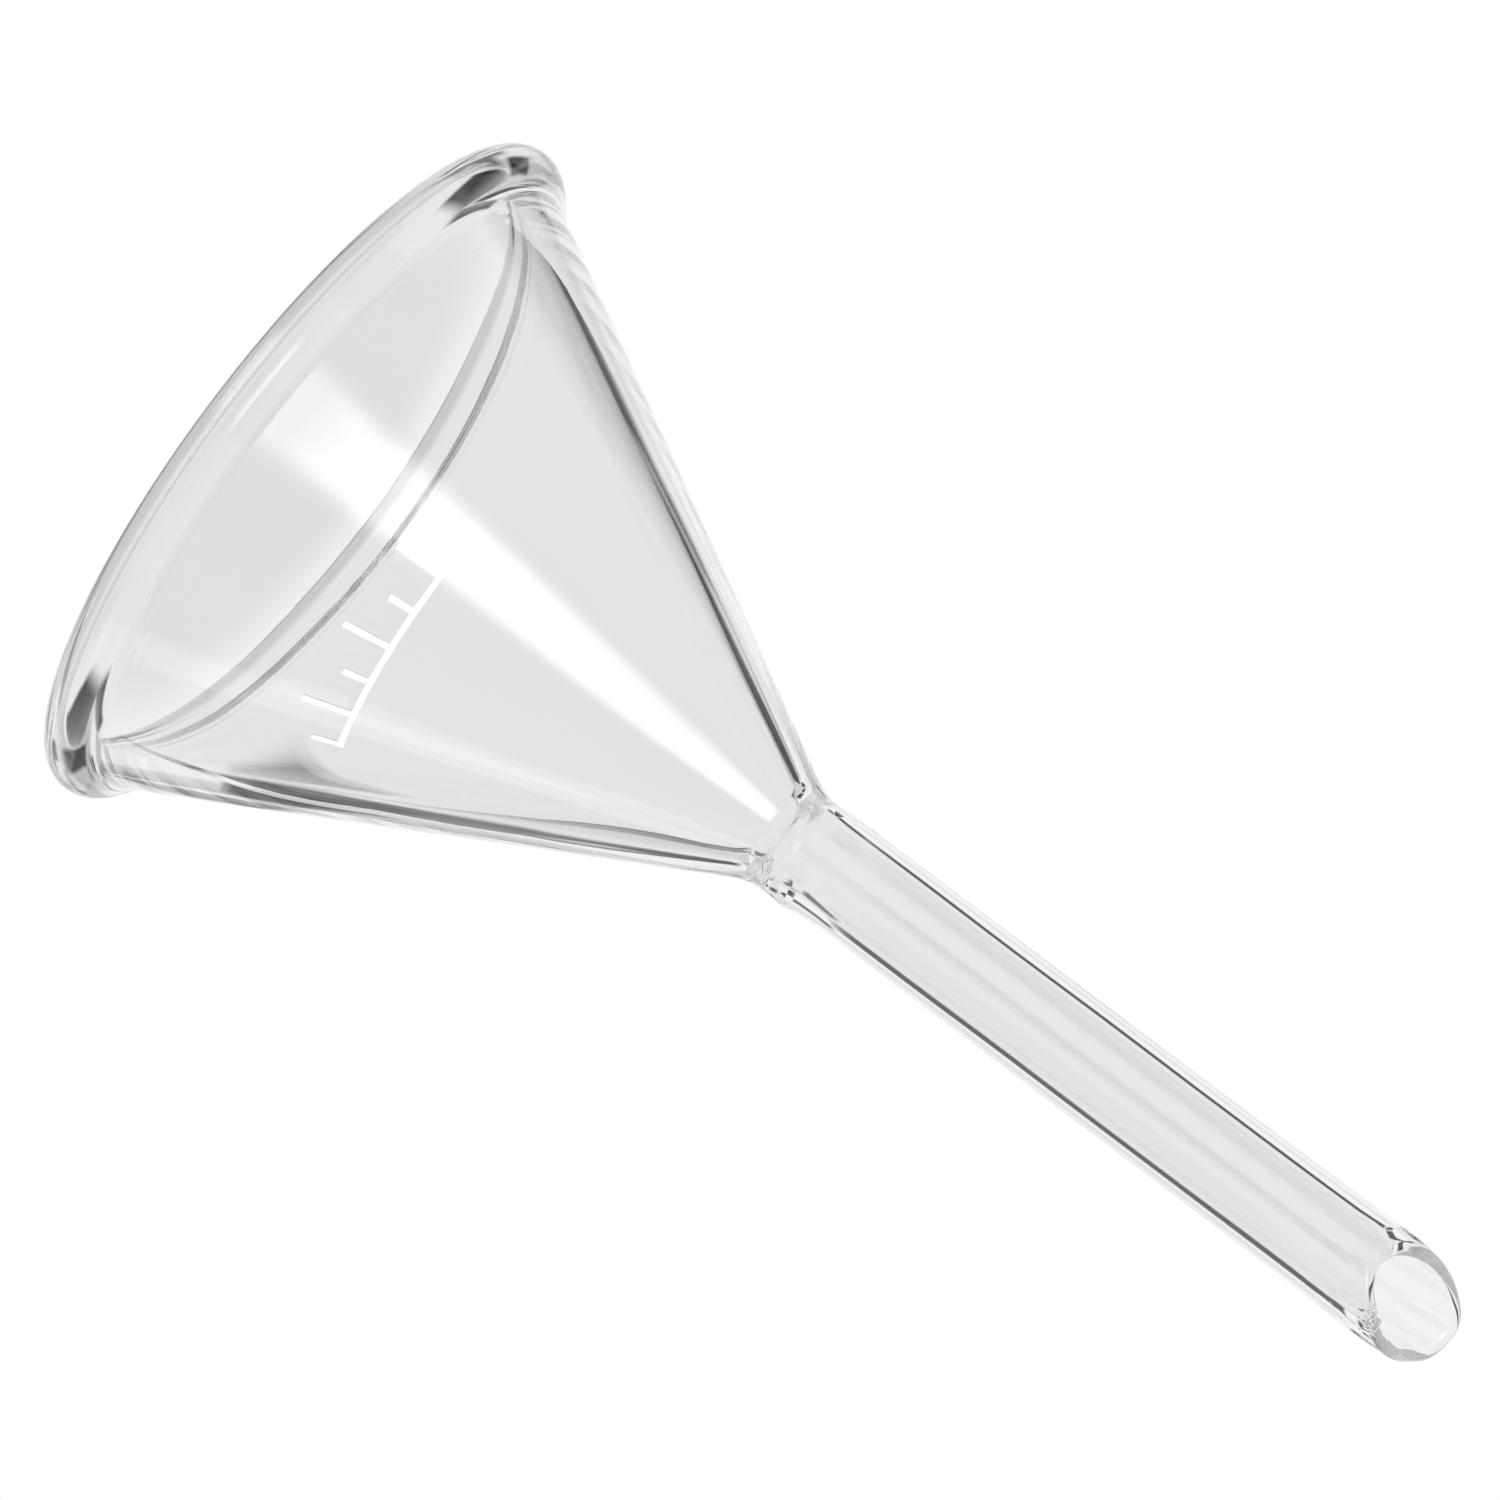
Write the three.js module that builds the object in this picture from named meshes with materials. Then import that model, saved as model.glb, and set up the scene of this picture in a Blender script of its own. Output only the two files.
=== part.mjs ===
// A 50 mm laboratory filter funnel of clear borosilicate glass, in millimetres.
//
// It stands mouth down on its beaded rim, so z = 0 is the plane that the rim rests on,
// +Z runs up the axis to the stem's tip, and the long point of the oblique tip is on +Y.
//
// The real funnel is one piece of glass when it is finished. It is made from a conical bowl
// whose edge is rolled into a bead, a straight stem tube, and the weld that fuses the two.
// Each of those is a solid of its own here. The seams are flat rings square to the axis, and
// the solids meet on them with no gap, as fused glass does.

import * as THREE from "three";
import { mergeVertices } from "three/addons/utils/BufferGeometryUtils.js";

// ---- Driving dimensions -------------------------------------------------------------

const MOUTH_DIAMETER = 50; // over the bead
const OVERALL_LENGTH = 93.2; // rim plane to the tip's long point
const BOWL_HEIGHT = 40.6; // rim plane to where the cone would meet the stem
const CONE_HALF_ANGLE = THREE.MathUtils.degToRad(28);

const WALL = 1.58; // square to the cone
const WALL_AT_RIM = 2.12; // the rolled edge draws the wall thicker
const RIM_WALL_Z = 3.6; // where it is that thick
const WALL_FADE = 6; // how fast that thickening dies away up the cone

const BEAD_SECTION_RADIUS = 1.6;
const SEAT_WIDTH = 0.8; // the flat that wears on the bead's lowest ring
const BEAD_FILLET = 1; // the hot edge slumps into the cone's outer face
const BEAD_SEAM_Z = 5.2;

const STEM_DIAMETER = 6.9;
const BORE_DIAMETER = 5.25;
const TIP_DIAMETER = 7.3; // fire polishing leaves the end a little swollen
const TIP_BORE_DIAMETER = 5.7;
const TIP_SWELL_LENGTH = 16;
const TIP_RISE = 4.6; // short side to long point of the oblique tip

const WELD_START_Z = 38.8;
const WELD_END_Z = 43.4;
const WELD_FILLET = 6;
const THROAT_DIAMETER = 4.5; // the weld pinches the bore
const THROAT_LENGTH = 0.8;
const THROAT_FLARE = 1.1;

const MARK_STROKE = 0.42;
const MARK_HEIGHT = 3.6; // along the wall
const MARK_SHORT_TICK = 2.1;
const MARK_TICKS = 6;
const MARK_START_Z = 16.7; // the base line, nearest the stem
const MARK_FROM = THREE.MathUtils.degToRad(12.5);
const MARK_TO = THREE.MathUtils.degToRad(62);
const MARK_THICKNESS = 0.12;
const MARK_LIFT = 0.03; // keeps the print clear of the facets under it

const BOWL_SEGMENTS = 72;
const STEM_SEGMENTS = 40;

// ---- Worked out from them -----------------------------------------------------------

const SLOPE = Math.tan(CONE_HALF_ANGLE);
const STEM_RADIUS = STEM_DIAMETER / 2;
const BORE_RADIUS = BORE_DIAMETER / 2;
const APEX_Z = BOWL_HEIGHT + STEM_RADIUS / SLOPE;
const BEAD_CENTRE_R = MOUTH_DIAMETER / 2 - BEAD_SECTION_RADIUS;
const BEAD_CENTRE_Z = Math.sqrt(BEAD_SECTION_RADIUS ** 2 - (SEAT_WIDTH / 2) ** 2);

const outerRadius = (z) => (APEX_Z - z) * SLOPE;

function wallThickness(z) {
  return WALL + (WALL_AT_RIM - WALL) * Math.exp((RIM_WALL_Z - z) / WALL_FADE);
}

const innerRadius = (z) => outerRadius(z) - wallThickness(z) / Math.cos(CONE_HALF_ANGLE);

// ---- Helpers ------------------------------------------------------------------------

const point = (r, z) => new THREE.Vector2(r, z);

/** Points on an arc of the section, both ends included, angles in radians from +r. */
function arc(r, z, radius, from, to, steps) {
  const points = [];
  for (let i = 0; i <= steps; i += 1) {
    const angle = from + ((to - from) * i) / steps;
    points.push(point(r + radius * Math.cos(angle), z + radius * Math.sin(angle)));
  }
  return points;
}

/** A solid of revolution about +Z. The section runs up its outside and down its inside. */
function turned(section, segments) {
  const lathe = new THREE.LatheGeometry([...section, section[0].clone()], segments);
  lathe.rotateX(Math.PI / 2);
  lathe.deleteAttribute("normal");
  lathe.deleteAttribute("uv");
  return mergeVertices(lathe, 1e-4);
}

function piece(name, geometry, material) {
  geometry.computeVertexNormals();
  const mesh = new THREE.Mesh(geometry, material);
  mesh.name = name;
  return mesh;
}

function clearGlass(color) {
  return new THREE.MeshStandardMaterial({
    color,
    roughness: 0.03,
    metalness: 0,
    transparent: true,
    opacity: 0.35,
  });
}

// ---- Bowl: the conical wall, thicker where it runs into the bead ----------------------

function bowl() {
  const steps = 9;
  const heights = [];
  for (let i = 0; i <= steps; i += 1) {
    heights.push(BEAD_SEAM_Z + (WELD_START_Z - BEAD_SEAM_Z) * (i / steps) ** 1.7);
  }
  const outside = heights.map((z) => point(outerRadius(z), z));
  const inside = heights.map((z) => point(innerRadius(z), z)).reverse();
  return turned([...outside, ...inside], BOWL_SEGMENTS);
}

// ---- Rim bead: the rolled edge, round but for the narrow seat it stands on -------------

function rimBead() {
  const seatAngle = Math.asin(SEAT_WIDTH / 2 / BEAD_SECTION_RADIUS);
  const down = -Math.PI / 2;
  const ring = (from, to, steps) =>
    arc(BEAD_CENTRE_R, BEAD_CENTRE_Z, BEAD_SECTION_RADIUS, from, to, steps);

  // Outside, a fillet takes the bead's circle into the cone's face. Its centre is worked out
  // square to that face and along it, from the bead's centre.
  const toFace = (outerRadius(BEAD_CENTRE_Z) - BEAD_CENTRE_R) * Math.cos(CONE_HALF_ANGLE);
  const square = toFace + BEAD_FILLET;
  const along = Math.sqrt((BEAD_SECTION_RADIUS + BEAD_FILLET) ** 2 - square ** 2);
  const leaves = CONE_HALF_ANGLE + Math.atan2(along, square);
  const centreR =
    BEAD_CENTRE_R + square * Math.cos(CONE_HALF_ANGLE) - along * Math.sin(CONE_HALF_ANGLE);
  const centreZ =
    BEAD_CENTRE_Z + square * Math.sin(CONE_HALF_ANGLE) + along * Math.cos(CONE_HALF_ANGLE);
  const fillet = arc(
    centreR,
    centreZ,
    BEAD_FILLET,
    Math.PI + leaves,
    Math.PI + CONE_HALF_ANGLE,
    5,
  );

  // Inside, the wall runs straight into the bead where the two have the same slope.
  const wallSlope = (innerRadius(RIM_WALL_Z) - innerRadius(BEAD_SEAM_Z)) / (BEAD_SEAM_Z - RIM_WALL_Z);
  const innerShoulder = Math.PI + Math.atan(wallSlope);
  const inside = [BEAD_SEAM_Z, (BEAD_SEAM_Z + RIM_WALL_Z) / 2, RIM_WALL_Z];
  const section = [
    ...ring(down + seatAngle, leaves, 12),
    ...fillet.slice(1),
    point(outerRadius(BEAD_SEAM_Z), BEAD_SEAM_Z),
    ...inside.map((z) => point(innerRadius(z), z)),
    ...ring(innerShoulder, 2 * Math.PI + down - seatAngle, 5),
  ];
  return turned(section, BOWL_SEGMENTS);
}

// ---- Neck weld: cone outside runs into the stem by a fillet, and the bore is pinched ----

function neckWeld() {
  const filletLength = WELD_FILLET * Math.tan(CONE_HALF_ANGLE / 2);
  const filletTop = BOWL_HEIGHT + filletLength;
  const throatRadius = THROAT_DIAMETER / 2;
  const coneSideRadius = innerRadius(WELD_START_Z);
  const throatStart = WELD_START_Z + (coneSideRadius - throatRadius) / SLOPE;
  const throatEnd = throatStart + THROAT_LENGTH;
  const flare = [];
  const flareSteps = 4;
  for (let i = flareSteps; i >= 0; i -= 1) {
    const t = i / flareSteps;
    const ease = t * t * (3 - 2 * t);
    const radius = throatRadius + (BORE_RADIUS - throatRadius) * ease;
    flare.push(point(radius, throatEnd + THROAT_FLARE * t));
  }
  const fillet = arc(
    STEM_RADIUS + WELD_FILLET,
    filletTop,
    WELD_FILLET,
    Math.PI + CONE_HALF_ANGLE,
    Math.PI,
    6,
  );
  const section = [
    point(outerRadius(WELD_START_Z), WELD_START_Z),
    ...fillet,
    point(STEM_RADIUS, WELD_END_Z),
    point(BORE_RADIUS, WELD_END_Z),
    ...flare,
    point(throatRadius, throatStart),
    point(coneSideRadius, WELD_START_Z),
  ];
  return turned(section, STEM_SEGMENTS);
}

// ---- Stem: a straight tube, swollen at its oblique fire-polished tip --------------------

function stem() {
  const lipRadius = (TIP_DIAMETER - TIP_BORE_DIAMETER) / 4;
  const lipCentre = TIP_BORE_DIAMETER / 2 + lipRadius;
  const tipSlope = TIP_RISE / TIP_DIAMETER;
  const lipZ = OVERALL_LENGTH - tipSlope * lipCentre - lipRadius * Math.hypot(1, tipSlope);
  const swellZ = lipZ - TIP_SWELL_LENGTH;

  const side = (plainRadius, tipRadius) => {
    const points = [point(plainRadius, WELD_END_Z), point(plainRadius, swellZ)];
    const steps = 4;
    for (let i = 1; i <= steps; i += 1) {
      const t = i / steps;
      points.push(point(plainRadius + (tipRadius - plainRadius) * t * t, swellZ + TIP_SWELL_LENGTH * t));
    }
    return points;
  };
  const outside = side(STEM_RADIUS, TIP_DIAMETER / 2);
  const inside = side(BORE_RADIUS, TIP_BORE_DIAMETER / 2).reverse();
  const lip = arc(lipCentre, lipZ, lipRadius, 0, Math.PI, 6).slice(1, -1);
  const tube = turned([...outside, ...lip, ...inside], STEM_SEGMENTS);

  // The tip is sheared along +Y: heights rise with y above the start of the swell only.
  const position = tube.getAttribute("position");
  for (let i = 0; i < position.count; i += 1) {
    const z = position.getZ(i);
    const share = THREE.MathUtils.clamp((z - swellZ) / TIP_SWELL_LENGTH, 0, 1);
    position.setZ(i, z + tipSlope * share * position.getY(i));
  }
  return tube;
}

// ---- Fill mark: a small printed scale of fired enamel, wrapped on the cone -------------

/** Puts a point of the flat print on the wall: across in radians, down in mm, out in mm. */
function onWall(across, down, out) {
  const z = MARK_START_Z - down * Math.cos(CONE_HALF_ANGLE) + out * Math.sin(CONE_HALF_ANGLE);
  const onFace = outerRadius(MARK_START_Z) + down * Math.sin(CONE_HALF_ANGLE);
  const radius = onFace + out * Math.cos(CONE_HALF_ANGLE);
  return [radius * Math.sin(across), -radius * Math.cos(across), z];
}

function fillMark() {
  const strokeAngle = MARK_STROKE / outerRadius(MARK_START_Z);
  const pitch = (MARK_TO - MARK_FROM - strokeAngle) / (MARK_TICKS - 1);
  const across = [];
  for (let tick = 0; tick < MARK_TICKS; tick += 1) {
    const start = MARK_FROM + pitch * tick;
    across.push(start, start + strokeAngle);
    if (tick < MARK_TICKS - 1) {
      across.push(start + (pitch + strokeAngle) / 2);
    }
  }
  const down = [0, MARK_STROKE, MARK_SHORT_TICK, MARK_HEIGHT];
  const columns = across.length - 1;
  const rows = down.length - 1;
  // Row 0 is the base line. Every third column is a tick, and every other tick is short.
  const printed = (column, row) => {
    if (column < 0 || column >= columns || row < 0 || row >= rows) {
      return false;
    }
    const isTick = column % 3 === 0;
    const isLong = (column / 3) % 2 === 0;
    return row === 0 || (isTick && (row === 1 || isLong));
  };

  const corners = [];
  const quad = (...points) => {
    const [a, b, c, d] = points.map(([i, j, out]) => onWall(across[i], down[j], out));
    corners.push(...a, ...b, ...c, ...a, ...c, ...d);
  };
  const low = MARK_LIFT;
  const high = MARK_LIFT + MARK_THICKNESS;
  for (let i = 0; i < columns; i += 1) {
    for (let j = 0; j < rows; j += 1) {
      if (!printed(i, j)) {
        continue;
      }
      quad([i, j + 1, high], [i + 1, j + 1, high], [i + 1, j, high], [i, j, high]);
      quad([i, j, low], [i + 1, j, low], [i + 1, j + 1, low], [i, j + 1, low]);
      if (!printed(i - 1, j)) {
        quad([i, j, low], [i, j + 1, low], [i, j + 1, high], [i, j, high]);
      }
      if (!printed(i + 1, j)) {
        quad([i + 1, j + 1, low], [i + 1, j, low], [i + 1, j, high], [i + 1, j + 1, high]);
      }
      if (!printed(i, j - 1)) {
        quad([i, j, high], [i + 1, j, high], [i + 1, j, low], [i, j, low]);
      }
      if (!printed(i, j + 1)) {
        quad([i, j + 1, low], [i + 1, j + 1, low], [i + 1, j + 1, high], [i, j + 1, high]);
      }
    }
  }
  const geometry = new THREE.BufferGeometry();
  geometry.setAttribute("position", new THREE.Float32BufferAttribute(corners, 3));
  return mergeVertices(geometry, 1e-4);
}

// ---- The funnel -----------------------------------------------------------------------

const whiteEnamel = new THREE.MeshStandardMaterial({
  color: 0xf6f6f2,
  roughness: 0.45,
  metalness: 0,
});

const funnel = new THREE.Group();
funnel.add(
  piece("bowl", bowl(), clearGlass(0xe3e8e7)),
  piece("rim_bead", rimBead(), clearGlass(0xd8dedd)),
  piece("neck_weld", neckWeld(), clearGlass(0xdde3e2)),
  piece("stem", stem(), clearGlass(0xe3e8e7)),
  piece("fill_mark", fillMark(), whiteEnamel),
);

export default funnel;
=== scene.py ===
"""A 50 mm laboratory funnel of clear borosilicate glass, standing mouth down on a light table.

The bowl, its rolled rim, the weld at the neck and the stem are one piece of glass when the
funnel is finished. Each is a closed solid here, and they meet on flat seams that light passes
straight through, as it does in fused glass.
"""

import math

import bmesh
import bpy
from mathutils import Matrix, Vector, noise


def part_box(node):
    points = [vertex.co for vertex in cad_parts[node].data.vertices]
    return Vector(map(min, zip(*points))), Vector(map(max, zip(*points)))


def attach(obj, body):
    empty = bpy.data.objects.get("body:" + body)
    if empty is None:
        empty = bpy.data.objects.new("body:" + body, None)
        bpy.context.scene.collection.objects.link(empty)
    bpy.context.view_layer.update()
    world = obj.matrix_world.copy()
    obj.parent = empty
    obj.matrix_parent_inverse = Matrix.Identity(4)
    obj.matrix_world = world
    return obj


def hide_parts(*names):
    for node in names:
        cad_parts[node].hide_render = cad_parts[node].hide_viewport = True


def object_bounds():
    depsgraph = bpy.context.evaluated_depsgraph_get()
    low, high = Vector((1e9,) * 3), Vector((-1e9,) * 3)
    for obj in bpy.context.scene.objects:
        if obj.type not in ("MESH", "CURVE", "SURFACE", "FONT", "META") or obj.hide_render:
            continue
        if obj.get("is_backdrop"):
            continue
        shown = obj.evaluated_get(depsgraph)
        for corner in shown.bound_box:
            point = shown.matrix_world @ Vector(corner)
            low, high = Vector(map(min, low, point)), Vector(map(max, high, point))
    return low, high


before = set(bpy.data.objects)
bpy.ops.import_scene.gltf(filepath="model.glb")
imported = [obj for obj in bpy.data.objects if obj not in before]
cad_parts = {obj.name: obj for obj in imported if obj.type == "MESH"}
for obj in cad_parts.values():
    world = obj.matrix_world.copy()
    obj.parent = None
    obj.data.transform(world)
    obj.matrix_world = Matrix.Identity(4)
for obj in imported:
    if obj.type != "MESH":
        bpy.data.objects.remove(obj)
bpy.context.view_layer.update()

MM = 0.001

noise.seed_set(5)  # without a seed the nick in the tip would differ from run to run

# ---- Sizes, in metres, from the frame ---------------------------------------------------

_, BEAD_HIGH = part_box("rim_bead")
BOWL_LOW, BOWL_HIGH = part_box("bowl")
WELD_LOW, WELD_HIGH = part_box("neck_weld")
_, STEM_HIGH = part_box("stem")

MOUTH_RADIUS = BEAD_HIGH.x
BEAD_SEAM_Z = BOWL_LOW.z
BOWL_SEAM_RADIUS = BOWL_HIGH.x
WELD_START_Z = WELD_LOW.z
WELD_END_Z = WELD_HIGH.z
TIP_RADIUS = STEM_HIGH.x
TIP_LONG_Z = STEM_HIGH.z

# ---- Sizes that the glass itself sets ---------------------------------------------------

CONE_HALF_ANGLE = math.radians(28)
WALL = 1.58 * MM
WALL_AT_RIM = 2.12 * MM
RIM_WALL_Z = 3.6 * MM
WALL_FADE = 6.0 * MM

BEAD_SECTION_RADIUS = 1.6 * MM
SEAT_WIDTH = 0.8 * MM
BEAD_FILLET = 1.5 * MM

STEM_RADIUS = 3.45 * MM
BORE_RADIUS = 2.625 * MM
TIP_BORE_RADIUS = 2.85 * MM
TIP_SWELL_LENGTH = 16 * MM
TIP_RISE = 4.6 * MM

WELD_FILLET = 6.0 * MM
THROAT_RADIUS = 2.25 * MM
THROAT_LENGTH = 0.8 * MM
THROAT_FLARE = 1.1 * MM

# What the hand work left: how far a surface strays, and at what height on the funnel.
OUTSIDE_STRAY = 0.035 * MM
INSIDE_STRAY = 0.10 * MM
CALM_LENGTH = 6 * MM  # from the weld's start to where the tube runs true
FOLDS = ((3.85 * MM, 0.014 * MM), (4.45 * MM, 0.008 * MM))  # height and depth of each
FOLD_WIDTH = 0.18 * MM
WELD_SLUMP = 0.32 * MM
WELD_SLUMP_Z = 42.6 * MM
WELD_HOLLOW = 0.14 * MM
WELD_HOLLOW_Z = 41.6 * MM
THROAT_PINCH = 0.45 * MM
THROAT_PINCH_Z = 40.1 * MM
THROAT_EASE = 0.25 * MM
THROAT_EASE_Z = 41.2 * MM

# What the flame left on the tip.
MOTTLE = 0.035 * MM
MOTTLE_LENGTH = 4 * MM
END_STRAY = 0.16 * MM
END_LENGTH = 1.6 * MM
LIP_DROP = 0.35  # millimetres, all round
LIP_DROP_STRAY = 0.3
NICK = 0.32 * MM
NICK_GRAIN = 0.25 * MM

MARK_STROKE = 0.42 * MM
MARK_HEIGHT = 3.6 * MM
MARK_SHORT_TICK = 2.1 * MM
MARK_TICKS = 6
MARK_START_Z = 16.7 * MM
MARK_FROM = math.radians(12.5)
MARK_TO = math.radians(62)
MARK_LIFT = 0.05 * MM
MARK_THICKNESS = 0.09 * MM
STROKE_CELLS = 4  # cells across a stroke of the print
GAP_CELLS = 12  # cells between two ticks
REACH_CELLS = 8  # cells down each stretch of a tick

# Directions round the axis, in degrees from -Y toward +X.
FULL_SIDE = 103  # where the weld's fillet is fullest
SCANT_SIDE = -77  # where the weld pinched in
CHIP_SIDE = 62  # where the tip's edge is nicked

# Where the flame drew the lip down further: millimetres, side and spread in degrees.
LIP_SLUMPS = ((0.9, SCANT_SIDE - 15, 35), (1.35, -8, 52), (0.25, FULL_SIDE, 50))

SLOPE = math.tan(CONE_HALF_ANGLE)
APEX_Z = BEAD_SEAM_Z + BOWL_SEAM_RADIUS / SLOPE
BEAD_CENTRE_R = MOUTH_RADIUS - BEAD_SECTION_RADIUS
BEAD_CENTRE_Z = math.sqrt(BEAD_SECTION_RADIUS**2 - (SEAT_WIDTH / 2) ** 2)
BOWL_HEIGHT = APEX_Z - STEM_RADIUS / SLOPE

SEAM_GAP = 0.001 * MM  # each side of a seam, so that light meets the two faces in turn
ROUND = 240  # steps round the axis, the same on every piece so that the seams match


# ---- Materials --------------------------------------------------------------------------


def linear(hex_colour):
    """An sRGB hex colour as the linear RGBA that shaders take."""
    channels = [int(hex_colour[i : i + 2], 16) / 255 for i in (0, 2, 4)]
    return [c / 12.92 if c <= 0.04045 else ((c + 0.055) / 1.055) ** 2.4 for c in channels] + [1.0]


def add(tree, kind, settings=None, links=None, **attributes):
    """Adds a node to a tree, sets its inputs and attributes, and links outputs into its inputs."""
    node = tree.nodes.new(kind)
    for name, value in attributes.items():
        setattr(node, name, value)
    for name, value in (settings or {}).items():
        node.inputs[name].default_value = value
    for name, output in (links or {}).items():
        tree.links.new(output, node.inputs[name])
    return node


def new_material(name):
    material = bpy.data.materials.new(name)
    material.use_nodes = True
    material.node_tree.nodes.clear()
    return material, material.node_tree


def noise_bump(tree, size, strength, depth, detail, under=None):
    """Bump from noise whose lumps are about size across, over another bump if there is one."""
    place = add(tree, "ShaderNodeTexCoord")
    lumps = add(
        tree,
        "ShaderNodeTexNoise",
        {"Scale": 1 / size, "Detail": detail, "Roughness": 0.5},
        {"Vector": place.outputs["Object"]},
    )
    links = {"Height": lumps.outputs["Fac"]}
    if under:
        links["Normal"] = under.outputs["Normal"]
    return add(tree, "ShaderNodeBump", {"Strength": strength, "Distance": depth}, links)


def clear_glass(name, ripple, depth_grey):
    """Clear glass with a faint ripple in its skin, that greys a little with depth. Faces on a
    fused seam let light straight through."""
    material, tree = new_material(name)
    broad = noise_bump(tree, size=7 * MM, strength=ripple, depth=0.03 * MM, detail=1.0)
    fine = noise_bump(
        tree, size=1.6 * MM, strength=ripple / 2, depth=0.01 * MM, detail=2.0, under=broad
    )
    glass = add(
        tree,
        "ShaderNodeBsdfPrincipled",
        {
            "Base Color": linear("F3F3F3"),
            "Roughness": 0.0,
            "IOR": 1.473,
            "Transmission Weight": 1.0,
        },
        {"Normal": fine.outputs["Normal"]},
    )
    seam = add(tree, "ShaderNodeAttribute", attribute_name="fused_seam")
    open_seam = add(tree, "ShaderNodeBsdfTransparent")
    surface = add(
        tree,
        "ShaderNodeMixShader",
        links={"Fac": seam.outputs["Fac"], 1: glass.outputs["BSDF"], 2: open_seam.outputs["BSDF"]},
    )
    depth = add(
        tree, "ShaderNodeVolumeAbsorption", {"Color": linear("404442"), "Density": depth_grey}
    )
    add(
        tree,
        "ShaderNodeOutputMaterial",
        links={"Surface": surface.outputs["Shader"], "Volume": depth.outputs["Volume"]},
    )
    return material


def flame_worked_borosilicate():
    """Borosilicate glass worked in the flame: water clear, but rippled by the tools, so
    reflections and edge lines waver a little instead of running dead straight. Its slight grey
    makes the bead and the edges of the wall read as solid glass."""
    return clear_glass("flame_worked_borosilicate", ripple=0.2, depth_grey=4.0)


def drawn_borosilicate_tube():
    """Borosilicate tubing drawn by machine: clearer and truer than the worked glass, so its bore
    shows as two fine straight lines."""
    return clear_glass("drawn_borosilicate_tube", ripple=0.08, depth_grey=1.8)


def fired_enamel():
    """White glass enamel, screen printed and fired on: a chalky satin white with a fine grain,
    thin enough that a little light glows through it."""
    material, tree = new_material("fired_enamel")
    grit = noise_bump(tree, size=0.12 * MM, strength=0.5, depth=0.02 * MM, detail=3.0)
    enamel = add(
        tree,
        "ShaderNodeBsdfPrincipled",
        {
            "Base Color": linear("FBFBF8"),
            "Roughness": 0.45,
            "IOR": 1.52,
            "Transmission Weight": 0.3,
        },
        {"Normal": grit.outputs["Normal"]},
    )
    add(tree, "ShaderNodeOutputMaterial", links={"Surface": enamel.outputs["BSDF"]})
    return material


# ---- Shaping the glass ------------------------------------------------------------------


def outer_radius(z):
    return (APEX_Z - z) * SLOPE


def wall_thickness(z):
    return WALL + (WALL_AT_RIM - WALL) * math.exp((RIM_WALL_Z - z) / WALL_FADE)


def inner_radius(z):
    return outer_radius(z) - wall_thickness(z) / math.cos(CONE_HALF_ANGLE)


def wander(angle, z, lobes, length, seed):
    """A smooth random height between -1 and 1 that closes on itself round the axis."""
    x = math.cos(angle) * lobes + seed * 7.3
    y = math.sin(angle) * lobes - seed * 3.1
    return noise.noise(Vector((x, y, z / length + seed)))


def bump(value, centre, width):
    """1 at the centre, falling smoothly to nothing either way."""
    return math.exp(-(((value - centre) / width) ** 2))


def facing(angle, side, spread):
    """1 on the side given in degrees, falling to nothing either way."""
    return bump((math.degrees(angle) - side + 180) % 360 - 180, 0, spread)


def calm(z):
    """Hand worked glass wanders on the cone and at the weld. The drawn tube hardly does."""
    t = min(max((z - WELD_START_Z) / CALM_LENGTH, 0), 1)
    return 1 - 0.8 * t * t * (3 - 2 * t)


def outside_ripple(angle, z):
    """How far the outside strays from true, which is little: it was rolled against a former."""
    stray = OUTSIDE_STRAY * calm(z) * wander(angle, z, 0.8, 14 * MM, 1)
    # the rolled edge closed on the cone in fine folds
    for fold, depth in FOLDS:
        uneven = 0.6 + 0.9 * wander(angle, fold, 2.5, 2 * MM, 9)
        stray -= depth * uneven * bump(z, fold, FOLD_WIDTH)
    # the weld slumped to one side, and left the other a little hollow
    stray += WELD_SLUMP * bump(z, WELD_SLUMP_Z, 2.2 * MM) * facing(angle, FULL_SIDE, 75)
    stray -= WELD_HOLLOW * bump(z, WELD_HOLLOW_Z, 1.3 * MM) * facing(angle, SCANT_SIDE, 60)
    return stray


def inside_ripple(angle, z):
    """The inside was worked with a tool by hand, so the wall's thickness wavers, and the throat
    is pinched on one side and eased on the other."""
    stray = INSIDE_STRAY * calm(z) * wander(angle, z, 1.1, 9 * MM, 4)
    stray -= THROAT_PINCH * bump(z, THROAT_PINCH_Z, 0.5 * MM) * facing(angle, SCANT_SIDE, 50)
    stray += THROAT_EASE * bump(z, THROAT_EASE_Z, 1.2 * MM) * facing(angle, FULL_SIDE, 60)
    return stray


def place_point(r, angle, z):
    return Vector((r * math.sin(angle), -r * math.cos(angle), z))


def arc(r, z, radius, start, end, steps):
    """Section points on an arc, both ends included, angles in radians from +r."""
    turn = even(start, end, steps)
    return [(r + radius * math.cos(a), z + radius * math.sin(a)) for a in turn]


def even(start, end, steps):
    """Values at even steps from start to end, both included."""
    return [start + (end - start) * i / steps for i in range(steps + 1)]


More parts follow.
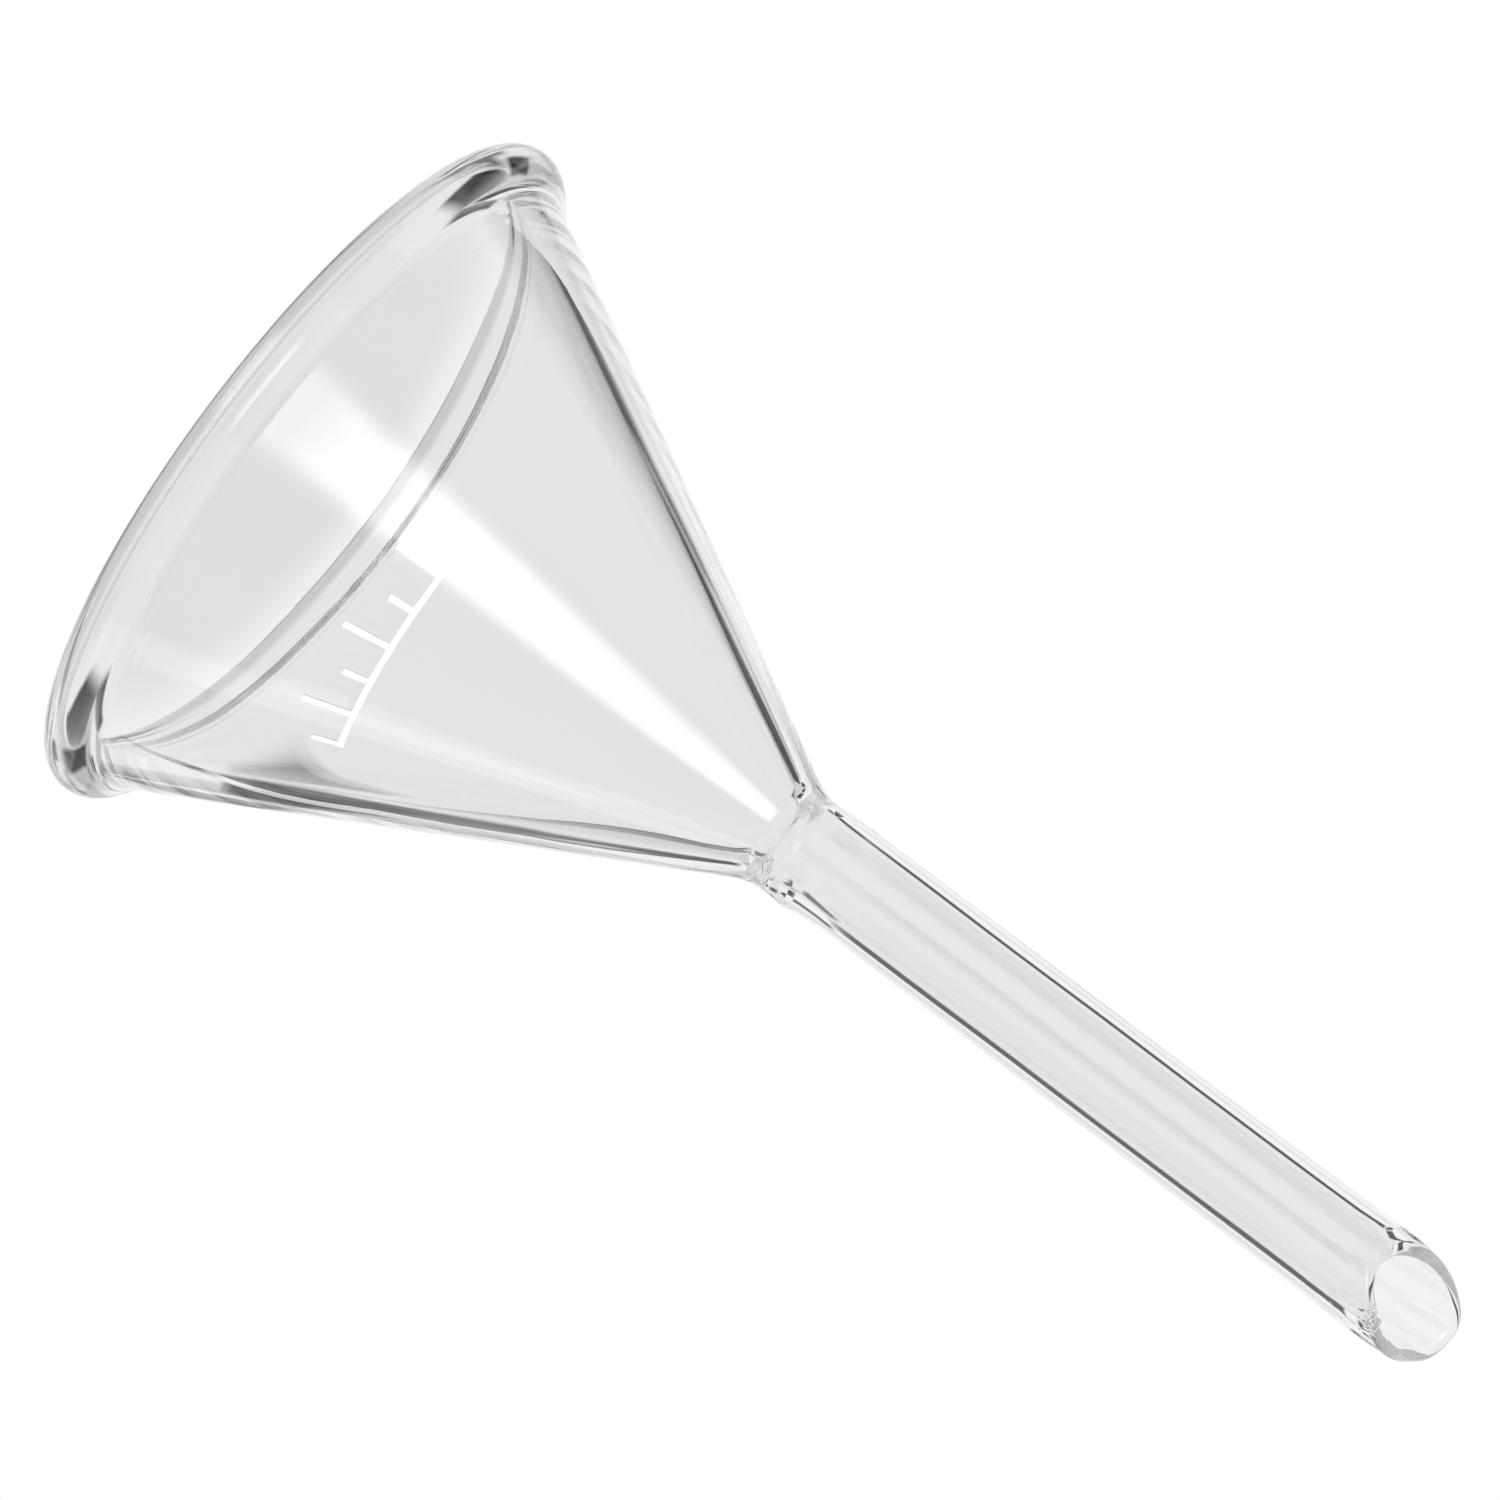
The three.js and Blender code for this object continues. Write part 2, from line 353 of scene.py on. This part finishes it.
def turned_solid(name, glass, outside, inside, shape, seams):
    """A closed glass solid from its outside section, going up, and its inside section, going down.

    shape(r, angle, z, is_outside) gives each point its place. seams says which of the two ends,
    'low' and 'high', are flat seams in the fused glass.
    """
    section = [(r, z, True) for r, z in outside] + [(r, z, False) for r, z in inside]
    count = len(section)
    points = []
    for turn in range(ROUND):
        angle = math.tau * turn / ROUND
        points += [shape(r, angle, z, is_outside) for r, z, is_outside in section]
    end_steps = {"high": len(outside) - 1, "low": count - 1}
    seam_steps = {end_steps[end] for end in seams}
    faces, on_seam = [], []
    for turn in range(ROUND):
        here, there = turn * count, (turn + 1) % ROUND * count
        for step in range(count):
            after = (step + 1) % count
            faces.append((here + step, there + step, there + after, here + after))
            on_seam.append(1.0 if step in seam_steps else 0.0)
    mesh = bpy.data.meshes.new(name)
    mesh.from_pydata(points, [], faces)
    mesh.materials.append(glass)
    mesh.shade_smooth()
    mesh.attributes.new("fused_seam", "FLOAT", "FACE").data.foreach_set("value", on_seam)
    sharp = mesh.attributes.new("sharp_edge", "BOOLEAN", "EDGE")
    corners = seam_steps | {(step + 1) % count for step in seam_steps}
    for edge in mesh.edges:
        a, b = (vertex % count for vertex in edge.vertices)
        sharp.data[edge.index].value = a == b and a in corners
    mesh.update()
    piece = bpy.data.objects.new(name, mesh)
    bpy.context.scene.collection.objects.link(piece)
    return piece


def cone_shape(r, angle, z, is_outside):
    stray = outside_ripple(angle, z) if is_outside else inside_ripple(angle, z)
    return place_point(r + stray, angle, z)


# ---- The pieces -------------------------------------------------------------------------


def make_bowl():
    heights = even(BEAD_SEAM_Z + SEAM_GAP, WELD_START_Z - SEAM_GAP, 70)
    outside = [(outer_radius(z), z) for z in heights]
    inside = [(inner_radius(z), z) for z in reversed(heights)]
    return turned_solid("bowl_wall", WORKED_GLASS, outside, inside, cone_shape, ("low", "high"))


def make_rim_bead():
    seat_angle = math.asin(SEAT_WIDTH / 2 / BEAD_SECTION_RADIUS)
    down = -math.pi / 2
    cos_face, sin_face = math.cos(CONE_HALF_ANGLE), math.sin(CONE_HALF_ANGLE)

    def ring(start, end, steps):
        return arc(BEAD_CENTRE_R, BEAD_CENTRE_Z, BEAD_SECTION_RADIUS, start, end, steps)

    # outside, a fillet takes the bead's circle into the cone's face
    square = (outer_radius(BEAD_CENTRE_Z) - BEAD_CENTRE_R) * cos_face + BEAD_FILLET
    along = math.sqrt((BEAD_SECTION_RADIUS + BEAD_FILLET) ** 2 - square**2)
    leaves = CONE_HALF_ANGLE + math.atan2(along, square)
    fillet = arc(
        BEAD_CENTRE_R + square * cos_face - along * sin_face,
        BEAD_CENTRE_Z + square * sin_face + along * cos_face,
        BEAD_FILLET,
        math.pi + leaves,
        math.pi + CONE_HALF_ANGLE,
        14,
    )
    outside = ring(down + seat_angle, leaves, 44) + fillet[1:]
    outside += [(outer_radius(z), z) for z in even(outside[-1][1], BEAD_SEAM_Z - SEAM_GAP, 36)[1:]]

    # inside, the wall runs straight into the bead where the two have the same slope
    rise = BEAD_SEAM_Z - RIM_WALL_Z
    shoulder = math.pi + math.atan((inner_radius(RIM_WALL_Z) - inner_radius(BEAD_SEAM_Z)) / rise)
    inside = [(inner_radius(z), z) for z in even(BEAD_SEAM_Z - SEAM_GAP, RIM_WALL_Z, 8)]
    start_of_ring = ring(shoulder, math.tau + down - seat_angle, 20)
    (r0, z0), (r1, z1) = inside[-1], start_of_ring[0]
    inside += [(r0 + (r1 - r0) * t, z0 + (z1 - z0) * t) for t in even(0, 1, 8)[1:-1]]
    inside += start_of_ring
    return turned_solid("rolled_rim_bead", WORKED_GLASS, outside, inside, cone_shape, ("high",))


def make_neck_weld():
    fillet_length = WELD_FILLET * math.tan(CONE_HALF_ANGLE / 2)
    fillet_top = BOWL_HEIGHT + fillet_length
    fillet = arc(
        STEM_RADIUS + WELD_FILLET, fillet_top, WELD_FILLET, math.pi + CONE_HALF_ANGLE, math.pi, 16
    )
    cone_side = inner_radius(WELD_START_Z)
    throat_start = WELD_START_Z + (cone_side - THROAT_RADIUS) / SLOPE
    throat_end = throat_start + THROAT_LENGTH
    outside = [(outer_radius(z), z) for z in even(WELD_START_Z + SEAM_GAP, fillet[0][1], 4)[:-1]]
    outside += fillet + [(STEM_RADIUS, z) for z in even(fillet_top, WELD_END_Z - SEAM_GAP, 8)[1:]]
    bore = even(WELD_END_Z - SEAM_GAP, throat_end + THROAT_FLARE, 6)[:-1]
    inside = [(BORE_RADIUS, z) for z in bore]
    for t in even(1, 0, 12):
        widening = t * t * (3 - 2 * t)
        radius = THROAT_RADIUS + (BORE_RADIUS - THROAT_RADIUS) * widening
        inside.append((radius, throat_end + THROAT_FLARE * t))
    inside.append((THROAT_RADIUS, throat_start))
    inside += [(inner_radius(z), z) for z in even(throat_start, WELD_START_Z + SEAM_GAP, 4)[1:]]
    return turned_solid(
        "neck_weld_ring", WORKED_GLASS, outside, inside, cone_shape, ("low", "high")
    )


def make_stem():
    lip_radius = (TIP_RADIUS - TIP_BORE_RADIUS) / 2
    lip_centre = TIP_BORE_RADIUS + lip_radius
    tip_slope = TIP_RISE / (2 * TIP_RADIUS)
    lip_z = TIP_LONG_Z - tip_slope * lip_centre - lip_radius * math.hypot(1, tip_slope)
    swell_z = lip_z - TIP_SWELL_LENGTH

    def tube_side(plain, tip):
        points = [(plain, z) for z in even(WELD_END_Z + SEAM_GAP, swell_z, 40)]
        for t in even(0, 1, 60)[1:]:
            points.append((plain + (tip - plain) * t * t, swell_z + TIP_SWELL_LENGTH * t))
        return points

    def shape(r, angle, z, is_outside):
        share = min(max((z - swell_z) / TIP_SWELL_LENGTH, 0), 1)
        end = bump(z, lip_z + lip_radius, END_LENGTH)
        r += outside_ripple(angle, z) if is_outside else inside_ripple(angle, z)
        # the flame mottled the end's inside
        if not is_outside:
            near_end = bump(z, lip_z, MOTTLE_LENGTH)
            r += MOTTLE * near_end * wander(angle, z, 2.6, 1.3 * MM, 12)
        # it rounded the end unevenly, and drew the lip down more on one side
        r -= END_STRAY * end * (1 + 1.5 * wander(angle, 0, 1.2, MM, 3))
        drop = LIP_DROP
        for depth, side, spread in LIP_SLUMPS:
            drop += depth * facing(angle, side, spread)
        drop += LIP_DROP_STRAY * wander(angle, 0, 1.6, MM, 6)
        point = place_point(r, angle, z)
        point.z += tip_slope * share * point.y
        point.z -= share**6 * MM * drop
        nick = facing(angle, CHIP_SIDE, 11) * bump(z, lip_z + lip_radius, 0.8 * MM)
        return point + nick * NICK * noise.noise_vector(point / NICK_GRAIN)

    outside = tube_side(STEM_RADIUS, TIP_RADIUS)
    outside += arc(lip_centre, lip_z, lip_radius, 0, math.pi / 2, 10)[1:]
    inside = arc(lip_centre, lip_z, lip_radius, math.pi / 2, math.pi, 10)[1:-1]
    inside += list(reversed(tube_side(BORE_RADIUS, TIP_BORE_RADIUS)))
    return turned_solid("stem_tube", TUBE_GLASS, outside, inside, shape, ("low",))


def on_wall(across, down, out):
    """A point of the flat print on the wall: across in radians, down and out in metres."""
    z = MARK_START_Z - down * math.cos(CONE_HALF_ANGLE)
    r = outer_radius(z) + outside_ripple(across, z)
    return place_point(
        r + out * math.cos(CONE_HALF_ANGLE), across, z + out * math.sin(CONE_HALF_ANGLE)
    )


def make_fill_mark():
    """A base line with long and short ticks by turns, as cells of a grid wrapped on the cone."""
    stroke_angle = MARK_STROKE / outer_radius(MARK_START_Z)
    pitch = (MARK_TO - MARK_FROM - stroke_angle) / (MARK_TICKS - 1)
    across, is_tick_column, is_long_column = [], [], []
    for tick in range(MARK_TICKS):
        start = MARK_FROM + pitch * tick
        for width, cells, is_tick in (
            (stroke_angle, STROKE_CELLS, True),
            (pitch - stroke_angle, GAP_CELLS, False),
        ):
            if is_tick or tick < MARK_TICKS - 1:
                across += even(start, start + width, cells)[:-1]
                is_tick_column += [is_tick] * cells
                is_long_column += [is_tick and tick % 2 == 0] * cells
            start += width
    across.append(MARK_TO)
    down = even(0, MARK_STROKE, STROKE_CELLS)
    down += even(MARK_STROKE, MARK_SHORT_TICK, REACH_CELLS)[1:]
    down += even(MARK_SHORT_TICK, MARK_HEIGHT, REACH_CELLS)[1:]

    def printed(i, j):
        if not (0 <= i < len(across) - 1 and 0 <= j < len(down) - 1):
            return False
        in_line, in_short_tick = j < STROKE_CELLS, j < STROKE_CELLS + REACH_CELLS
        return in_line or is_long_column[i] or (is_tick_column[i] and in_short_tick)

    form = bmesh.new()
    corners = {}

    def corner(i, j, out):
        if (i, j, out) not in corners:
            corners[i, j, out] = form.verts.new(on_wall(across[i], down[j], out))
        return corners[i, j, out]

    low, high = MARK_LIFT, MARK_LIFT + MARK_THICKNESS
    for i in range(len(across) - 1):
        for j in range(len(down) - 1):
            if not printed(i, j):
                continue
            around = [(i, j), (i, j + 1), (i + 1, j + 1), (i + 1, j)]
            form.faces.new([corner(*at, high) for at in around])
            form.faces.new([corner(*at, low) for at in reversed(around)])
            beyond = [(i - 1, j), (i, j + 1), (i + 1, j), (i, j - 1)]
            for side, neighbour in enumerate(beyond):
                if not printed(*neighbour):
                    a, b = around[side], around[(side + 1) % 4]
                    upright = [(*a, low), (*b, low), (*b, high), (*a, high)]
                    form.faces.new([corner(*at) for at in upright])
    bmesh.ops.recalc_face_normals(form, faces=form.faces)
    mesh = bpy.data.meshes.new("enamel_fill_mark")
    form.to_mesh(mesh)
    form.free()
    mesh.materials.append(ENAMEL)
    piece = bpy.data.objects.new("enamel_fill_mark", mesh)
    bpy.context.scene.collection.objects.link(piece)
    return piece


# ---- Studio -----------------------------------------------------------------------------

CAMERA_AZIMUTH = 12.6  # from -Y toward +X
CAMERA_ELEVATION = 13.0
CAMERA_DISTANCE = 1.6
CAMERA_ROLL = math.radians(126.98)
FRAME_WIDTH = 93.75 * MM  # what the view spans at the funnel
AIM_RIGHT = -2.8 * MM
AIM_UP = 35.2 * MM

TABLE_REACH = 20.0
TABLE_DROP = 0.05 * MM  # how far the table lies under the seat
STANDING_SCRIM_RADIUS = 450 * MM
LYING_SCRIM_HEIGHT = 1 * MM
# how far from the axis the dark sheets of painted shade under the rim begin and end
RIM_SHADE_SHEET_NEAR = 20.3 * MM
RIM_SHADE_SHEET_FAR = 22.8 * MM
SCRIM_BAYS = 8  # flat bays in a curved scrim
GLASS_BOUNCES = 1024  # light runs a long way inside the tube's wall
CLEAR_BOUNCES = 256


def direction(azimuth, elevation):
    """The unit vector toward an azimuth, from -Y toward +X, and an elevation, in degrees."""
    a, e = math.radians(azimuth), math.radians(elevation)
    return Vector((math.sin(a) * math.cos(e), -math.cos(a) * math.cos(e), math.sin(e)))


def stage_sheet(name, corners, material, seen_by_camera=False):
    """A flat four-cornered sheet of the studio. A hidden one still shows through the glass."""
    mesh = bpy.data.meshes.new(name)
    mesh.from_pydata(corners, [], [tuple(range(len(corners)))])
    mesh.materials.append(material)
    mesh.uv_layers.new(name="UVMap")
    for loop, place in zip(mesh.uv_layers[0].data, ((0, 0), (1, 0), (1, 1), (0, 1))):
        loop.uv = place
    panel = bpy.data.objects.new(name, mesh)
    panel.visible_camera = seen_by_camera
    bpy.context.scene.collection.objects.link(panel)
    panel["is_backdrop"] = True


def lit_opal_acrylic():
    """An opal acrylic table top lit from below: an even clean white with no cast shadows, and
    a painted shade under the funnel, a dimmer glow that stands in for the shadow of the glass."""
    material, tree = new_material("lit_opal_acrylic")
    place = add(tree, "ShaderNodeTexCoord")
    away = add(
        tree, "ShaderNodeVectorMath", operation="LENGTH", links={"Vector": place.outputs["Object"]}
    )
    # painted shade: the glow is dimmed to 0.84 within 14 mm of the axis and comes back to full at
    # 24 mm, standing in for the funnel's shadow
    painted_shade = add(
        tree,
        "ShaderNodeMapRange",
        {"From Min": 14 * MM, "From Max": 24 * MM, "To Min": 0.84, "To Max": 1.0},
        {"Value": away.outputs["Value"]},
        interpolation_type="SMOOTHSTEP",
    )
    light = add(tree, "ShaderNodeEmission", links={"Strength": painted_shade.outputs["Result"]})
    add(tree, "ShaderNodeOutputMaterial", links={"Surface": light.outputs["Emission"]})
    return material


def soft_edge(tree, edge):
    """1 over the middle of a sheet, falling to nothing over the given share of its size."""
    place = add(tree, "ShaderNodeTexCoord")
    sides = add(tree, "ShaderNodeSeparateXYZ", links={"Vector": place.outputs["UV"]})
    falloffs = []
    for axis in ("X", "Y"):
        off_centre = add(
            tree, "ShaderNodeMath", {1: 0.5}, {0: sides.outputs[axis]}, operation="SUBTRACT"
        )
        distance = add(
            tree, "ShaderNodeMath", links={0: off_centre.outputs[0]}, operation="ABSOLUTE"
        )
        falloffs.append(
            add(
                tree,
                "ShaderNodeMapRange",
                {"From Min": 0.5, "From Max": 0.5 - edge, "To Min": 0.0, "To Max": 1.0},
                {"Value": distance.outputs[0]},
                interpolation_type="SMOOTHSTEP",
            )
        )
    return add(
        tree,
        "ShaderNodeMath",
        operation="MULTIPLY",
        links={0: falloffs[0].outputs["Result"], 1: falloffs[1].outputs["Result"]},
    )


def open_round_edge(tree, middle, sheet):
    """Ends a sheet's material, which fades to clear toward the sheet's edges."""
    open_edge = add(tree, "ShaderNodeBsdfTransparent")
    surface = add(
        tree,
        "ShaderNodeMixShader",
        links={"Fac": middle.outputs[0], 1: open_edge.outputs["BSDF"], 2: sheet},
    )
    add(tree, "ShaderNodeOutputMaterial", links={"Surface": surface.outputs["Shader"]})


def softbox_cloth(name, strength, edge):
    """Diffusion cloth over a lamp: brightest in the middle and falling off toward its edges, so
    the highlights it leaves on glass have soft borders."""
    material, tree = new_material(name)
    middle = soft_edge(tree, edge)
    glow = add(
        tree, "ShaderNodeMath", {1: strength}, {0: middle.outputs[0]}, operation="MULTIPLY"
    )
    light = add(tree, "ShaderNodeEmission", links={"Strength": glow.outputs[0]})
    open_round_edge(tree, middle, light.outputs["Emission"])
    return material


def black_scrim():
    """Black net stretched on a frame, thinner toward its edges, which the glass bends into its
    dark edge lines."""
    material, tree = new_material("black_scrim")
    middle = soft_edge(tree, edge=0.22)
    net = add(tree, "ShaderNodeBsdfPrincipled", {"Base Color": linear("141414"), "Roughness": 0.9})
    open_round_edge(tree, middle, net.outputs["BSDF"])
    return material


def softbox(name, azimuth, elevation, width, height, strength, edge):
    """A softbox 1 m from the funnel. Its azimuth is from the camera's, to the right."""
    centre = direction(CAMERA_AZIMUTH + azimuth, elevation)
    across = -centre.cross(Vector((0, 0, 1))).normalized()
    up = centre.cross(across)
    corners = [
        centre + across * (x * width / 2) + up * (y * height / 2)
        for x, y in ((-1, -1), (1, -1), (1, 1), (-1, 1))
    ]
    stage_sheet(name, corners, softbox_cloth(name + "_cloth", strength, edge))


def edge_scrim(name, start, end, near, far, low, high):
    """A curved strip of scrim round the funnel, from one azimuth to another. One long edge is at
    the distance near and the height low, and the other at far and high."""
    corners, faces = [], []
    for azimuth in even(start, end, SCRIM_BAYS):
        corners.append(direction(azimuth, 0) * near + Vector((0, 0, low)))
        corners.append(direction(azimuth, 0) * far + Vector((0, 0, high)))
    for i in range(0, 2 * SCRIM_BAYS, 2):
        faces.append((i, i + 2, i + 3, i + 1))
    mesh = bpy.data.meshes.new(name)
    mesh.from_pydata(corners, [], faces)
    mesh.materials.append(SCRIM)
    mesh.uv_layers.new(name="UVMap")
    for loop, place in zip(mesh.loops, mesh.uv_layers[0].data):
        place.uv = (loop.vertex_index // 2 / SCRIM_BAYS, loop.vertex_index % 2)
    scrim = bpy.data.objects.new(name, mesh)
    scrim.visible_camera = False
    bpy.context.scene.collection.objects.link(scrim)
    scrim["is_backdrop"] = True


def front_fill():
    """A broad lamp from the camera's side that brightens the enamel and leaves no glint."""
    lamp = bpy.data.lights.new("front_fill", "AREA")
    lamp.size = 0.5
    lamp.energy = 7.5
    fill = bpy.data.objects.new("front_fill", lamp)
    place = direction(CAMERA_AZIMUTH + 30, 40)
    toward_funnel = place.to_track_quat("Z", "Y").to_matrix().to_4x4()
    fill.matrix_world = Matrix.Translation(place) @ toward_funnel
    fill.visible_glossy = False
    fill.visible_transmission = False
    fill.visible_camera = False
    bpy.context.scene.collection.objects.link(fill)
    fill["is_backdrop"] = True


def studio_world():
    """The room: as white as the table at the horizon, a little greyer above, dim overhead."""
    world = bpy.data.worlds.new("studio_room")
    bpy.context.scene.world = world
    world.use_nodes = True
    tree = world.node_tree
    tree.nodes.clear()
    place = add(tree, "ShaderNodeTexCoord")
    height = add(tree, "ShaderNodeSeparateXYZ", links={"Vector": place.outputs["Generated"]})
    tones = []
    # between each pair of elevations, in degrees, the room falls to that share of its white
    for low, high, tone in ((2, 12, 0.72), (36, 58, 0.15)):
        tones.append(
            add(
                tree,
                "ShaderNodeMapRange",
                {
                    "From Min": math.sin(math.radians(low)),
                    "From Max": math.sin(math.radians(high)),
                    "To Min": 1.0,
                    "To Max": tone,
                },
                {"Value": height.outputs["Z"]},
            )
        )
    both = add(
        tree,
        "ShaderNodeMath",
        operation="MULTIPLY",
        links={0: tones[0].outputs["Result"], 1: tones[1].outputs["Result"]},
    )
    room = add(
        tree, "ShaderNodeBackground", {"Color": linear("FFFFFF")}, {"Strength": both.outputs[0]}
    )
    add(tree, "ShaderNodeOutputWorld", links={"Surface": room.outputs["Background"]})


def make_camera():
    """The camera, rolled so that the funnel lies aslant, its tip to the lower right."""
    data = bpy.data.cameras.new("camera")
    camera = bpy.data.objects.new("camera", data)
    bpy.context.scene.collection.objects.link(camera)
    bpy.context.scene.camera = camera
    data.sensor_width = 36.0
    data.lens = data.sensor_width * CAMERA_DISTANCE / FRAME_WIDTH
    data.clip_start, data.clip_end = 0.01, 100.0
    back = direction(CAMERA_AZIMUTH, CAMERA_ELEVATION)
    right = direction(CAMERA_AZIMUTH + 90, 0)
    up = back.cross(right)
    c, s = math.cos(CAMERA_ROLL), math.sin(CAMERA_ROLL)
    turn = Matrix((right * c + up * s, up * c - right * s, back)).transposed()
    aim = right * AIM_RIGHT + Vector((0, 0, AIM_UP))
    camera.matrix_world = Matrix.Translation(aim + back * CAMERA_DISTANCE) @ turn.to_4x4()


# ---- Put it together --------------------------------------------------------------------

WORKED_GLASS = flame_worked_borosilicate()
TUBE_GLASS = drawn_borosilicate_tube()
ENAMEL = fired_enamel()
SCRIM = black_scrim()

for make, node, slot in (
    (make_bowl, "bowl", "clear_glass"),
    (make_rim_bead, "rim_bead", "clear_glass"),
    (make_neck_weld, "neck_weld", "clear_glass"),
    (make_stem, "stem", "clear_glass"),
    (make_fill_mark, "fill_mark", "white_enamel"),
):
    piece = make()
    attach(piece, "root")
    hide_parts(node)

stage_sheet(
    "light_table_floor",
    [
        (x * TABLE_REACH, y * TABLE_REACH, -TABLE_DROP)
        for x, y in ((-1, -1), (1, -1), (1, 1), (-1, 1))
    ],
    lit_opal_acrylic(),
    seen_by_camera=True,
)
softbox("key_softbox", -15.5, 42, width=0.76, height=0.60, strength=4.6, edge=0.3)
softbox("side_softbox", 88, 30, width=0.34, height=0.30, strength=2.0, edge=0.3)
front_fill()

# Clear glass shows its form by the dark things that it bends into view. The first six scrims
# stand behind the funnel on both sides of the camera's line, and the last three stand at its
# sides and behind the camera. Azimuths are in degrees and heights in millimetres.
for start, end, low, high in (
    (220, 257, -60, 66),
    (227, 260, 4, 158),
    (207, 227, 60, 190),
    (153, 170, -60, 66),
    (155, 177, -95, 32),
    (156, 181, 62, 300),
    (293, 326, -60, 185),
    (69, 93, -60, 185),
    (355, 381, -60, 185),
):
    name = "standing_scrim_" + str(start)
    radius = STANDING_SCRIM_RADIUS
    edge_scrim(name, start, end, radius, radius, low * MM, high * MM)
# These lie on the table, from one distance to another in millimetres.
for start, end, near, far in (
    (81, 107, 150, 460),
    (131, 157, 150, 460),
    (238, 254, 150, 460),
    (3, 30, 150, 460),
    (280, 330, 150, 460),
    (155, 172, 45, 190),
):
    name = "lying_scrim_" + str(start)
    height = LYING_SCRIM_HEIGHT
    edge_scrim(name, start, end, near * MM, far * MM, height, height)
# These dark sheets lie inside the mouth, close under the bead, as painted shade: they stand in for
# the bead's shadow on the table and darken the two ends of the rim.
for start, end in ((285, 317), (66, 103)):
    name = "rim_painted_shade_" + str(start)
    edge_scrim(name, start, end, RIM_SHADE_SHEET_NEAR, RIM_SHADE_SHEET_FAR, 0, 0)
studio_world()
make_camera()

scene = bpy.context.scene
scene.view_settings.view_transform = "Standard"
scene.cycles.max_bounces = GLASS_BOUNCES
scene.cycles.transmission_bounces = GLASS_BOUNCES
scene.cycles.glossy_bounces = GLASS_BOUNCES
scene.cycles.transparent_max_bounces = CLEAR_BOUNCES

low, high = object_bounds()
